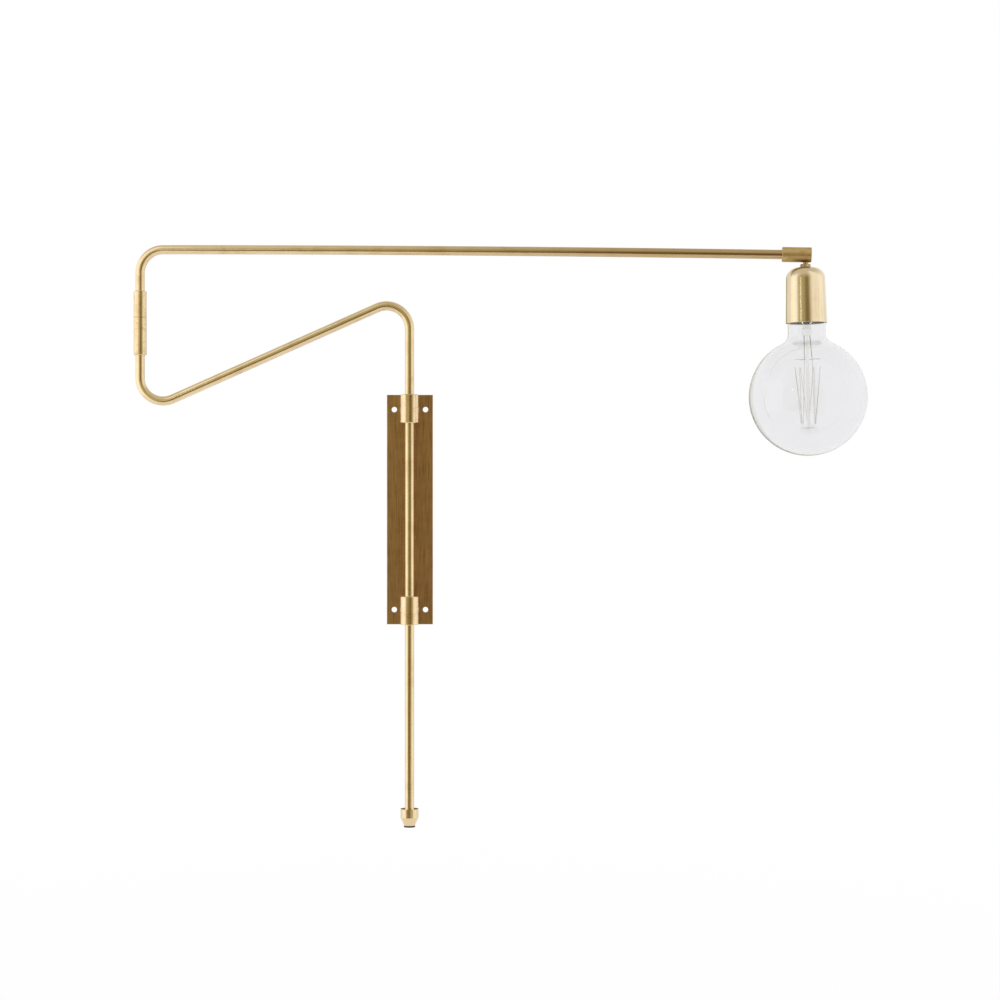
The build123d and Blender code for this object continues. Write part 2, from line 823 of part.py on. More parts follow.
def screw_shell():
    """Brass shell of the lamp socket, with a flared lip and an inward collar riveted to the roof."""
    outer = shell_diameter / 2
    inner = outer - shell_wall
    foot = socket_foot + shell_inset
    collar = terminal_offset - rivet_diameter
    shell = turned(
        (inner - shell_lip_roll, foot), (outer, foot + shell_lip), (outer, shell_roof),
        (collar, shell_roof), (collar, shell_roof - shell_wall),
        (inner, shell_roof - shell_wall), (inner, foot + shell_lip),
    )
    gap = Pos(-outer, 0, shell_roof) * Box(
        shell_diameter, contact_strip_width + 2 * collar_gap, 2 * contact_strip_thickness
    )
    rivet = Pos(terminal_offset, 0, 0) * rod(rivet_diameter, shell_roof, wiring_floor)
    return head_place * (shell - gap + rivet)


def centre_contact():
    """Sprung strip from the live rivet to the middle of the roof, bowed down to the bulb's button."""
    top = shell_roof
    low = contact_tip
    thick = contact_strip_thickness
    reach = terminal_offset + rivet_diameter
    bow = contact_button_diameter / 2
    foot = bow / 2
    strip = Polyline(
        (-reach, top), (-bow, top), (-foot, low + thick), (foot, low + thick), (foot, low),
        (-foot, low), (-bow, top - thick), (-reach, top - thick), close=True,
    )
    contact = extrude(Plane.XZ * make_face(strip), contact_strip_width / 2, both=True)
    rivet = Pos(-terminal_offset, 0, 0) * rod(rivet_diameter, top, wiring_floor)
    return head_place * (contact + rivet)


def terminal_blocks():
    """Live and neutral brass terminals in the porcelain's wiring space."""
    block = standing_box(terminal_length, terminal_width, terminal_height)
    block = Pos(terminal_offset, 0, wiring_floor) * block
    middle = wiring_floor + terminal_height / 2
    bore = Pos(0, 0, middle) * Rot(0, 90, 0) * rod(
        terminal_screw_diameter + 2 * joint_gap, terminal_offset, terminal_offset + terminal_length
    )
    return [head_place * side * (block - bore) for side in terminal_sides()]


def terminal_screws():
    """Screws that clamp the cores, reached through the porcelain's sides."""
    middle = wiring_floor + terminal_height / 2
    screw = Pos(0, 0, middle) * Rot(0, 90, 0) * rod(
        terminal_screw_diameter, terminal_offset + joint_gap, terminal_offset + terminal_screw_length
    )
    return [head_place * side * screw for side in terminal_sides()]


def earth_terminal():
    """Earth block under the entry flange."""
    high = socket_top
    low = high - terminal_height + core_diameter
    block = standing_box(earth_block_length, earth_block_length, high - low)
    return head_place * Pos(0, earth_block_offset, low) * block


def socket_wires():
    """Cores from the ball seat to the live, neutral and earth terminals."""
    top = -ball_radius - holder_core_gap
    bend = core_diameter
    step = 360 / core_count
    middle = wiring_floor + terminal_height / 2
    earth_middle = socket_top - (terminal_height - core_diameter) / 2
    block_face = terminal_offset - terminal_length / 2
    earth_face = earth_block_offset - earth_block_length / 2
    wires = []
    for core, turn, depth, reach in (
        (1, 180, middle, block_face),
        (2, 0, middle, block_face),
        (0, core_start_angle, earth_middle, earth_face),
    ):
        angle = radians(core_start_angle + core * step - turn)
        x = core_ring_radius * cos(angle)
        y = core_ring_radius * sin(angle)
        path = Plane((0, y, 0), x_dir=(1, 0, 0), z_dir=(0, -1, 0)) * FilletPolyline(
            (x, top), (x, depth), (reach, depth), radius=bend
        )
        wires.append(head_place * Rot(0, 0, turn) * swept(Circle(core_diameter / 2), path))
    return wires


def cap_outline(gap):
    """Points and knuckles of the screw cap's side, moved inwards by a gap."""
    root = cap_root_diameter / 2 - gap
    crest = cap_diameter / 2 - gap
    start = cap_foot + cap_skirt
    side = [(crest, cap_foot), (crest, start)]
    for turn in range(cap_thread_turns):
        low = start + turn * cap_thread_pitch
        side.append((root, low + cap_thread_pitch / 2))
        side.append((crest, low + cap_thread_pitch))
    return side


def bulb_cap():
    """Rolled screw cap of the bulb, with five rounded threads drawn as rings."""
    top = cap_top - insulator_height
    outside = cap_outline(0)
    inside = cap_outline(cap_wall)
    shell = outside + [(cap_root_diameter / 2, top), (cap_root_diameter / 2 - cap_wall, top)] + inside[::-1]
    return head_place * turned(*shell)


def cap_insulator():
    """Black glass cone between the cap and its contact button."""
    low = cap_top - insulator_height
    return head_place * turned(
        (0, low), (cap_root_diameter / 2, low), (insulator_top_diameter / 2, cap_top), (0, cap_top)
    )


def contact_button():
    """Soldered button at the cap's end."""
    half = contact_button_diameter / 2
    return head_place * turned(
        (0, cap_top), (half, cap_top), (half - joint_gap, contact_tip), (0, contact_tip)
    )


def globe_outline(inset):
    """Outline edges of the globe, neck and shoulder, moved inwards by a distance."""
    radius = globe_diameter / 2 - inset
    neck = bulb_neck_diameter / 2 - inset
    blend = bulb_neck_blend + inset
    shoulder = bulb_shoulder_round - inset
    throat = cap_root_diameter / 2 - cap_wall - joint_gap - inset
    centre = -globe_drop
    blend_x = neck + blend
    blend_z = centre + sqrt((radius + blend) ** 2 - blend_x**2)
    touch_x = blend_x * radius / (radius + blend)
    touch_z = centre + (blend_z - centre) * radius / (radius + blend)
    middle_angle = asin(touch_x / radius) / 2 + radians(90)
    middle = (radius * sin(middle_angle), centre + radius * cos(middle_angle))
    cap_mouth = cap_foot - inset
    throat_top = cap_foot + cap_skirt
    globe = ThreePointArc((0, centre - radius), middle, (touch_x, touch_z))
    flare = TangentArc((neck, blend_z), (touch_x, touch_z), tangent=(0, -1))
    side = Line((neck, cap_mouth - shoulder), (neck, blend_z))
    crown = TangentArc((neck, cap_mouth - shoulder), (neck - shoulder, cap_mouth), tangent=(0, 1))
    top = Polyline((neck - shoulder, cap_mouth), (throat, cap_mouth), (throat, throat_top))
    return globe, flare, side, crown, top


def bulb_glass():
    """Clear globe blown in one with its neck."""
    outer = globe_outline(0)
    inner = globe_outline(glass_wall)
    bottom = -globe_drop - globe_diameter / 2
    throat_top = cap_foot + cap_skirt
    throat = cap_root_diameter / 2 - cap_wall - joint_gap
    edges = outer[0]
    for edge in outer[1:] + inner:
        edges += edge
    edges += Line((0, bottom), (0, bottom + glass_wall))
    edges += Line((throat, throat_top), (throat - glass_wall, throat_top))
    return head_place * revolve(Plane.XZ * make_face(edges), Axis.Z)


def glass_stem():
    """Flared glass stem with its pressed waist, support rod and two buttons."""
    flare = cap_root_diameter / 2 - cap_wall - glass_wall - 2 * joint_gap
    tube = stem_tube_diameter / 2
    top = cap_foot + cap_skirt / 2
    waist = top - stem_flare_height
    press_top = -press_drop + press_height / 2
    stem = turned(
        (flare, top), (tube, waist), (tube, press_top), (tube - stem_wall, press_top),
        (tube - stem_wall, waist), (flare - stem_wall, top),
    )
    stem += Pos(0, 0, -press_drop) * Box(press_width, press_thickness, press_height)
    stem += rod(rod_diameter, -rod_foot_drop, -press_drop)
    half = support_button_height / 2
    button = rod(support_button_diameter, -half, half)
    for drop in (upper_support_drop, rod_foot_drop):
        stem += Pos(0, 0, -drop) * button
    return head_place * stem


def ring_point(radius, count, index, drop):
    """Point on a circle about the stem, counted from the front, at a depth below the ball."""
    step = 360 / count
    angle = radians(front_angle + step / 2 + step * index)
    return Vector(radius * cos(angle), radius * sin(angle), -drop)


def filament_points():
    """Points of the filament, which zigzags between the upper and the lower supports."""
    points = []
    for strand in range(filament_strands + 1):
        upper = strand % 2 == 0
        radius = upper_support_radius if upper else lower_support_radius
        drop = upper_support_drop if upper else rod_foot_drop
        points.append(ring_point(radius, filament_strands + 1, strand, drop))
    return points


def wire_between(start, end, diameter):
    """Straight round wire between two points."""
    path = Line(start, end)
    return swept(Circle(diameter / 2), path)


def filament():
    """Long thin filament, drawn as one wire with rounded corners at its supports."""
    path = FilletPolyline(*filament_points(), radius=filament_diameter)
    return head_place * swept(Circle(filament_diameter / 2), path)


def filament_supports():
    """Thin wires that reach out from the stem's buttons to the turns of the filament."""
    supports = []
    inner = support_button_diameter / 2 + joint_gap
    for index, point in enumerate(filament_points()):
        if index in (0, filament_strands):
            continue
        flat = Vector(point.X, point.Y, 0)
        start = flat.normalized() * inner + Vector(0, 0, point.Z)
        gap = filament_diameter / 2 + support_wire_diameter / 2
        end = flat.normalized() * (flat.length - filament_diameter - gap) + Vector(0, 0, point.Z)
        supports.append(head_place * wire_between(start, end, support_wire_diameter))
    return supports


def lead_in_wires():
    """Two wires from the press to the ends of the filament."""
    wires = []
    points = filament_points()
    for side, end in ((1, points[0]), (-1, points[-1])):
        start = Vector(side * lead_in_spacing / 2, 0, -press_drop - press_height / 2 - lead_in_diameter / 2)
        stop = end - (end - start).normalized() * filament_diameter
        wires.append(head_place * wire_between(start, stop, lead_in_diameter))
    return wires


nodes = {
    "wall_plate": wall_plate(),
    "upper_sleeve": sleeve(upper_sleeve_height),
    "lower_sleeve": sleeve(-upper_sleeve_height),
    "upper_bush": bush(upper_sleeve_height),
    "lower_bush": bush(-upper_sleeve_height),
    "sleeve_screws": sleeve_screws(),
    "shaft_grub_screws": shaft_grub_screws(),
    "shaft_friction_pads": shaft_friction_pads(),
    "lower_arm_tube": lower_arm_tube(),
    "lower_arm_lead": lower_arm_lead(),
    "gland_body": gland_body(),
    "gland_cap": gland_cap(),
    "gland_insert": gland_insert(),
    "gland_grommet": gland_grommet(),
    "lower_coupling": lower_coupling(),
    "swivel_spindle": swivel_spindle(),
    "thrust_washer": thrust_washer(),
    "stop_pin": stop_pin(),
    "spring_washer": spring_washer(),
    "swivel_nut": swivel_nut(),
    "swivel_housing": swivel_housing(),
    "upper_coupling": upper_coupling(),
    "upper_arm_tube": upper_arm_tube(),
    "upper_arm_lead": upper_arm_lead(),
    "upper_arm_cores": upper_arm_cores(),
    "end_block": end_block(),
    "block_screw": block_screw(),
    "ball_stem": ball_stem(),
    "stem_washer": stem_washer(),
    "stem_nut": stem_nut(),
    "stem_cores": stem_cores(),
    "ball_housing": ball_housing(),
    "ball_seat": ball_seat(),
    "holder_cup": holder_cup(),
    "cup_locknut": cup_locknut(),
    "socket_entry": socket_entry(),
    "socket_screws": socket_screws(),
    "socket_body": socket_body(),
    "screw_shell": screw_shell(),
    "centre_contact": centre_contact(),
    "terminal_blocks": terminal_blocks(),
    "terminal_screws": terminal_screws(),
    "earth_terminal": earth_terminal(),
    "socket_wires": socket_wires(),
    "bulb_cap": bulb_cap(),
    "cap_insulator": cap_insulator(),
    "contact_button": contact_button(),
    "bulb_glass": bulb_glass(),
    "glass_stem": glass_stem(),
    "lead_in_wires": lead_in_wires(),
    "filament_supports": filament_supports(),
    "filament": filament(),
}

os.makedirs("parts", exist_ok=True)
for name, piece in nodes.items():
    shape = Compound(children=piece) if isinstance(piece, list) else piece
    export_step(shape, f"parts/{name}.step")
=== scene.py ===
import json
import logging
from dataclasses import dataclass, replace
from enum import Enum
from math import asin, cos, degrees, pi, radians, sin, sqrt, tan
from typing import Any, Sequence

import bmesh
import bpy
from mathutils import Matrix, Vector


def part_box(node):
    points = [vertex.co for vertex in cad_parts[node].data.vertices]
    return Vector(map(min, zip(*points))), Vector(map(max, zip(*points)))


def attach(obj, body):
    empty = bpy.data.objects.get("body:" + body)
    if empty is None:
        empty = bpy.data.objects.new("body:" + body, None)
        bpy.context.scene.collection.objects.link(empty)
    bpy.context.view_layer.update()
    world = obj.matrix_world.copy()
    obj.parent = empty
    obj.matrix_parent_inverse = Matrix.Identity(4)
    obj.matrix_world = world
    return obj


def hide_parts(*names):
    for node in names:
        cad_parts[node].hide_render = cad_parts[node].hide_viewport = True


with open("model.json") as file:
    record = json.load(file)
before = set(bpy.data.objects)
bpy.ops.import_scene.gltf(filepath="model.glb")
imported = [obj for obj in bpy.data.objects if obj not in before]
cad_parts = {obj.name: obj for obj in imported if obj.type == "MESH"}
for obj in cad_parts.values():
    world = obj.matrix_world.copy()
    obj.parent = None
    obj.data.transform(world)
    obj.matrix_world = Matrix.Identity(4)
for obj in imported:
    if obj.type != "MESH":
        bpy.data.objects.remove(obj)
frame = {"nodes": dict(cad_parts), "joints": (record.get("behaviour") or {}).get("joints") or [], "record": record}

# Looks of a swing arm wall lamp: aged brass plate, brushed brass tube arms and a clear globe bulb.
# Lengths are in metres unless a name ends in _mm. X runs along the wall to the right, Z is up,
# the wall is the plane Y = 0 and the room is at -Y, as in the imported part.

LOG = logging.getLogger("lamp")
MM = 0.001
MERGE_MM = 0.001
SRGB_KNEE = 0.04045
SRGB_SLOPE = 12.92
SRGB_OFFSET = 0.055
SRGB_POWER = 2.4
NOISE_MIDDLE = 0.5
SKIN_HEIGHT_MM = 0.05
STREAK_WIDTH = 4
SPECK_LOW = 0.6
SPECK_HIGH = 0.72
WHITE = (1.0, 1.0, 1.0, 1.0)
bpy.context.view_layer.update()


class Grain(Enum):
    """Way in which the fine marks of a metal surface run."""

    ALONG_X = (0.04, 1.0, 1.0)
    ALONG_Z = (1.0, 1.0, 0.04)
    AROUND = (0.35, 0.35, 1.0)
    NONE = (1.0, 1.0, 1.0)


def linear(code: str) -> tuple[float, float, float, float]:
    """Turn an sRGB hex colour into linear light.

    Args:
        code: Six hex digits after a hash sign.

    Returns:
        Red, green, blue and an alpha of one.
    """
    channels = [int(code[place:place + 2], 16) / 255 for place in (1, 3, 5)]
    red, green, blue = (
        channel / SRGB_SLOPE if channel <= SRGB_KNEE
        else ((channel + SRGB_OFFSET) / (1 + SRGB_OFFSET)) ** SRGB_POWER
        for channel in channels
    )
    return red, green, blue, 1.0


def add_node(
    tree: bpy.types.NodeTree,
    kind: str,
    settings: dict[str | int, Any] | None = None,
    links: dict[str | int, Any] | None = None,
) -> bpy.types.Node:
    """Add one shader node with its settings and links.

    Args:
        tree: Node tree that gets the node.
        kind: Blender's type name of the node.
        settings: Values by socket name or number, or by property name where no socket has it.
        links: Output sockets by the name or number of the input that they feed.

    Returns:
        The new node.
    """
    node = tree.nodes.new(kind)
    for name, value in (settings or {}).items():
        if isinstance(name, int) or name in node.inputs:
            node.inputs[name].default_value = value
        else:
            setattr(node, name, value)
    for name, source in (links or {}).items():
        tree.links.new(source, node.inputs[name])
    return node


def new_material(name: str) -> tuple[bpy.types.Material, bpy.types.Node]:
    """Start a material that has only its principled shader.

    Args:
        name: Name of the real material and how its surface was made.

    Returns:
        The material and its shader node.
    """
    material = bpy.data.materials.new(name)
    material.use_nodes = True
    return material, material.node_tree.nodes["Principled BSDF"]


def steps_between(
    tree: bpy.types.NodeTree, source: Any, stops: Sequence[tuple[float, str]]
) -> Any:
    """Turn a value into a colour.

    Args:
        tree: Node tree that gets the ramp.
        source: Socket with a value from zero to one.
        stops: Places along the value and the sRGB hex colour at each.

    Returns:
        Colour socket of the ramp.
    """
    ramp = add_node(tree, "ShaderNodeValToRGB", links={"Fac": source})
    elements = ramp.color_ramp.elements
    while len(elements) < len(stops):
        elements.new(1.0)
    for element, (place, code) in zip(elements, stops):
        element.position = place
        element.color = linear(code)
    return ramp.outputs["Color"]


def spread(
    tree: bpy.types.NodeTree, source: Any, low: float, high: float, start: float, end: float
) -> Any:
    """Map a value from one range to another and hold it there.

    Args:
        tree: Node tree that gets the node.
        source: Socket with the value.
        low: Value that becomes start.
        high: Value that becomes end.
        start: Lowest result.
        end: Highest result.

    Returns:
        Socket with the mapped value.
    """
    settings = {"From Min": low, "From Max": high, "To Min": start, "To Max": end}
    return add_node(tree, "ShaderNodeMapRange", settings, {"Value": source}).outputs["Result"]


def reckoned(tree: bpy.types.NodeTree, operation: str, *terms: Any) -> Any:
    """Reckon with sockets and numbers.

    Args:
        tree: Node tree that gets the node.
        operation: Blender's name of the operation.
        terms: Sockets or numbers, in the order of the node's inputs.

    Returns:
        Socket with the result.
    """
    node = add_node(tree, "ShaderNodeMath", {"operation": operation})
    for number, term in enumerate(terms):
        if isinstance(term, bpy.types.NodeSocket):
            tree.links.new(term, node.inputs[number])
        else:
            node.inputs[number].default_value = term
    return node.outputs["Value"]


def mixed(tree: bpy.types.NodeTree, share: Any, first: Any, second: Sequence[float]) -> Any:
    """Lay a plain colour over another by a share.

    Args:
        tree: Node tree that gets the node.
        share: Socket with the share of the second colour.
        first: Socket with the first colour.
        second: The second colour in linear light.

    Returns:
        Socket with the mixed colour.
    """
    return add_node(
        tree, "ShaderNodeMix", {"data_type": "RGBA", 7: second}, {0: share, 6: first}
    ).outputs[2]


def noise(
    tree: bpy.types.NodeTree, place: Any, size_mm: float, detail: float, rough: float = 0.5
) -> Any:
    """Strew soft spots over a piece.

    Args:
        tree: Node tree that gets the node.
        place: Socket with the place on the piece.
        size_mm: Size of the spots.
        detail: Number of finer layers.
        rough: Strength of each finer layer beside the one before it.

    Returns:
        Socket with a value round one half.
    """
    settings = {"Scale": 1 / (size_mm * MM), "Detail": detail, "Roughness": rough}
    return add_node(tree, "ShaderNodeTexNoise", settings, {"Vector": place}).outputs["Fac"]


def raised(
    tree: bpy.types.NodeTree, shader: bpy.types.Node, height: Any, strength: float,
    height_mm: float = SKIN_HEIGHT_MM,
) -> None:
    """Raise the surface of a shader a little.

    Args:
        tree: Node tree of the shader.
        shader: Shader that gets the relief.
        height: Socket with the height from zero to one.
        strength: Share of the relief that shows.
        height_mm: Real height where the socket says one.
    """
    bump = add_node(
        tree, "ShaderNodeBump", {"Strength": strength, "Distance": height_mm * MM}, {"Height": height}
    )
    tree.links.new(bump.outputs["Normal"], shader.inputs["Normal"])


@dataclass(frozen=True)
class PaintedShadeEnd:
    """Stretch of a tube over which its brass is painted browner, as painted shade where the light falls off,
    measured along the tube.
    """

    colour: str
    start_mm: float
    end_mm: float
    share: float


@dataclass(frozen=True)
class BrassFinish:
    """Brass whose surface was brushed or turned and then left to darken.

    The marks of the brush break the reflections up, clouds of tarnish darken and dull the metal,
    and small specks and scratches show where it was handled.
    """

    name: str
    clean: str
    mid: str
    dark: str
    rough: float = 0.3
    rough_spread: float = 0.12
    grain: Grain = Grain.NONE
    grain_mm: float = 0.4
    grain_depth: float = 0.1
    cloud_mm: float = 14.0
    cloud_low: float = 0.3
    cloud_high: float = 0.75
    mid_at: float = 0.45
    speck_mm: float = 2.4
    speck_share: float = 0.0
    streak_share: float = 0.35
    coat: float = 1.0
    coat_rough: float = 0.1
    unbent: bool = False
    painted_shade_end: PaintedShadeEnd | None = None

    def place(self, tree: bpy.types.NodeTree) -> Any:
        """Give the socket with the place on the piece, or on the straight stock of a bent one."""
        if self.unbent:
            return add_node(tree, "ShaderNodeAttribute", {"attribute_name": "unbent"}).outputs["Vector"]
        return add_node(tree, "ShaderNodeTexCoord").outputs["Object"]

    def wear(self, tree: bpy.types.NodeTree, place: Any, stretched: Any) -> Any:
        """Blend clouds of tarnish with streaks along the brush.

        Args:
            tree: Node tree that gets the nodes.
            place: Socket with the place on the piece.
            stretched: The same place, drawn out along the grain.

        Returns:
            Socket that is low where the metal is dark and dull, and high where it is clean.
        """
        clouds = noise(tree, place, self.cloud_mm, detail=5.0, rough=0.62)
        streaks = noise(tree, stretched, STREAK_WIDTH * self.grain_mm, detail=2.0, rough=0.6)
        return add_node(
            tree, "ShaderNodeMix", {"Factor": self.streak_share}, {"A": clouds, "B": streaks}
        ).outputs["Result"]

    def colour(self, tree: bpy.types.NodeTree, place: Any, worn: Any) -> Any:
        """Colour the metal by its wear, its specks and the painted shade towards one end.

        Args:
            tree: Node tree that gets the nodes.
            place: Socket with the place on the piece.
            worn: Socket with the wear.

        Returns:
            Socket with the colour.
        """
        shade = spread(tree, worn, self.cloud_low, self.cloud_high, 0.0, 1.0)
        stops = ((0.0, self.dark), (self.mid_at, self.mid), (1.0, self.clean))
        colour = steps_between(tree, shade, stops)
        if self.speck_share:
            specks = noise(tree, place, self.speck_mm, detail=4.0, rough=0.75)
            mask = spread(tree, specks, SPECK_LOW, SPECK_HIGH, 0.0, self.speck_share)
            colour = mixed(tree, mask, colour, linear(self.dark))
        # Painted shade: the brass turns browner along the tube towards the end where the light falls off.
        if self.painted_shade_end:
            end = self.painted_shade_end
            along = add_node(tree, "ShaderNodeSeparateXYZ", links={"Vector": place}).outputs["Z"]
            share = spread(tree, along, end.start_mm * MM, end.end_mm * MM, 0.0, end.share)
            colour = mixed(tree, share, colour, linear(end.colour))
        return colour

    def material(self) -> bpy.types.Material:
        """Build the metal with its clouds, brush marks and specks."""
        material, shader = new_material(self.name)
        tree = material.node_tree
        place = self.place(tree)
        stretched = add_node(
            tree, "ShaderNodeMapping", {"Scale": self.grain.value}, {"Vector": place}
        ).outputs["Vector"]
        worn = self.wear(tree, place, stretched)
        tree.links.new(self.colour(tree, place, worn), shader.inputs["Base Color"])
        dullest = self.rough + self.rough_spread
        dull = spread(tree, worn, self.cloud_low, self.cloud_high, dullest, self.rough)
        tree.links.new(dull, shader.inputs["Roughness"])
        marks = noise(tree, stretched, self.grain_mm, detail=3.0, rough=0.7)
        raised(tree, shader, marks, self.grain_depth)
        shader.inputs["Metallic"].default_value = 1.0
        shader.inputs["Coat Weight"].default_value = self.coat
        shader.inputs["Coat Roughness"].default_value = self.coat_rough
        return material


@dataclass(frozen=True)
class PlainFinish:
    """Evenly coloured material with a faint mottle and a fine skin."""

    name: str
    colour: str
    shade: str
    rough: float
    metallic: float = 0.0
    ior: float = 1.5
    mottle_mm: float = 5.0
    mottle_band: float = 0.15
    rough_band: float = 0.2
    rough_sway: float = 0.15
    skin_mm: float = 0.5
    skin_depth: float = 0.08
    coat: float = 0.0

    def material(self) -> bpy.types.Material:
        """Build the material with its mottle and skin."""
        material, shader = new_material(self.name)
        tree = material.node_tree
        place = add_node(tree, "ShaderNodeTexCoord").outputs["Object"]
        mottle = noise(tree, place, self.mottle_mm, detail=4.0)
        low, high = NOISE_MIDDLE - self.mottle_band, NOISE_MIDDLE + self.mottle_band
        colour = steps_between(tree, mottle, ((low, self.shade), (high, self.colour)))
        tree.links.new(colour, shader.inputs["Base Color"])
        rough = spread(
            tree, mottle, NOISE_MIDDLE - self.rough_band, NOISE_MIDDLE + self.rough_band,
            self.rough * (1 + self.rough_sway), self.rough * (1 - self.rough_sway),
        )
        tree.links.new(rough, shader.inputs["Roughness"])
        raised(tree, shader, noise(tree, place, self.skin_mm, detail=2.0), self.skin_depth)
        shader.inputs["Metallic"].default_value = self.metallic
        shader.inputs["IOR"].default_value = self.ior
        shader.inputs["Coat Weight"].default_value = self.coat
        return material


@dataclass(frozen=True)
class GlassFinish:
    """Clear blown or drawn glass, smooth, with the faint waves of its blowing."""

    name: str
    colour: str
    rough: float = 0.0
    ior: float = 1.5
    wave_mm: float = 30.0
    wave_depth: float = 0.02
    wave_height_mm: float = 1.0

    def material(self) -> bpy.types.Material:
        """Build the glass with its faint waves."""
        material, shader = new_material(self.name)
        tree = material.node_tree
        place = add_node(tree, "ShaderNodeTexCoord").outputs["Object"]
        waves = noise(tree, place, self.wave_mm, detail=1.0)
        raised(tree, shader, waves, self.wave_depth, self.wave_height_mm)
        shader.inputs["Base Color"].default_value = linear(self.colour)
        shader.inputs["Roughness"].default_value = self.rough
        shader.inputs["IOR"].default_value = self.ior
        shader.inputs["Transmission Weight"].default_value = 1.0
        return material


# Plate: sheet brass, brushed down its length and long left to darken, so it is brown and streaked.
AGED_PLATE = BrassFinish(
    "brass_sheet_brushed_and_aged", clean="#CFA874", mid="#BC9564", dark="#98744A",
    rough=0.4, rough_spread=0.08, grain=Grain.ALONG_Z, grain_mm=0.35, grain_depth=0.2, cloud_mm=10.0,
    speck_mm=1.5, speck_share=0.3, streak_share=0.7, coat=0.0,
)
# Sleeves: bar brass, turned and lacquered, softly brushed round.
BRUSHED_SLEEVE = BrassFinish(
    "brass_bar_turned_and_lacquered", clean="#EBD4AB", mid="#E6CDA1", dark="#D0B27E",
    rough=0.2, rough_spread=0.04, grain=Grain.AROUND, grain_mm=0.3, grain_depth=0.01,
    cloud_mm=9.0, speck_share=0.05,
)
# Lower arm: drawn brass tube, brushed along, lacquered and a little dulled by hands.
DRAWN_TUBE = BrassFinish(
    "brass_tube_drawn_and_brushed", clean="#EBD5AC", mid="#E5CCA0", dark="#CDAE7A",
    rough=0.2, rough_spread=0.05, grain=Grain.ALONG_Z, grain_mm=0.3, grain_depth=0.01,
    cloud_mm=22.0, speck_share=0.05, unbent=True,
)
# Upper arm: the same tube, painted browner towards its far end as painted shade, where the light falls off.
SHADED_END_TUBE = replace(
    DRAWN_TUBE, name="brass_tube_drawn_with_painted_shade",
    painted_shade_end=PaintedShadeEnd("#B0905A", start_mm=230.0, end_mm=600.0, share=0.75),
)
# Elbow: turned brass, browner than the tubes where the lacquer has worn.
TURNED_ELBOW = BrassFinish(
    "brass_elbow_turned", clean="#EBD4AB", mid="#E2C898", dark="#C4A36C",
    rough=0.2, rough_spread=0.06, grain=Grain.AROUND, grain_mm=0.3, grain_depth=0.01,
    cloud_mm=8.0, speck_share=0.06,
)
# Block: sawn bar brass, matt, with fine scratches.
MATT_BLOCK = BrassFinish(
    "brass_block_matt", clean="#D6BA84", mid="#CAAD77", dark="#A98B58",
    rough=0.38, grain=Grain.ALONG_X, grain_mm=0.4, grain_depth=0.12, cloud_mm=5.0,
    speck_mm=1.2, speck_share=0.25, coat=0.3,
)
# Cup: spun sheet brass, lacquered, softly bright, with a faint upright grain.
SPUN_CUP = BrassFinish(
    "brass_cup_spun_and_lacquered", clean="#E6D4B1", mid="#E1CDA8", dark="#D4BD95",
    rough=0.19, rough_spread=0.03, grain=Grain.ALONG_Z, grain_mm=0.5, grain_depth=0.01,
    cloud_mm=30.0,
)
# Small turned parts of the gland and the ball joint, in brown brass whose colours are also set darker overall as
# painted shade for the dark neck and gland.
TURNED_SMALL = BrassFinish(
    "brass_small_turned", clean="#BDA274", mid="#AB9060", dark="#7C6240",
    rough=0.25, grain=Grain.AROUND, grain_mm=0.25, grain_depth=0.03, cloud_mm=4.0, speck_share=0.12,
)

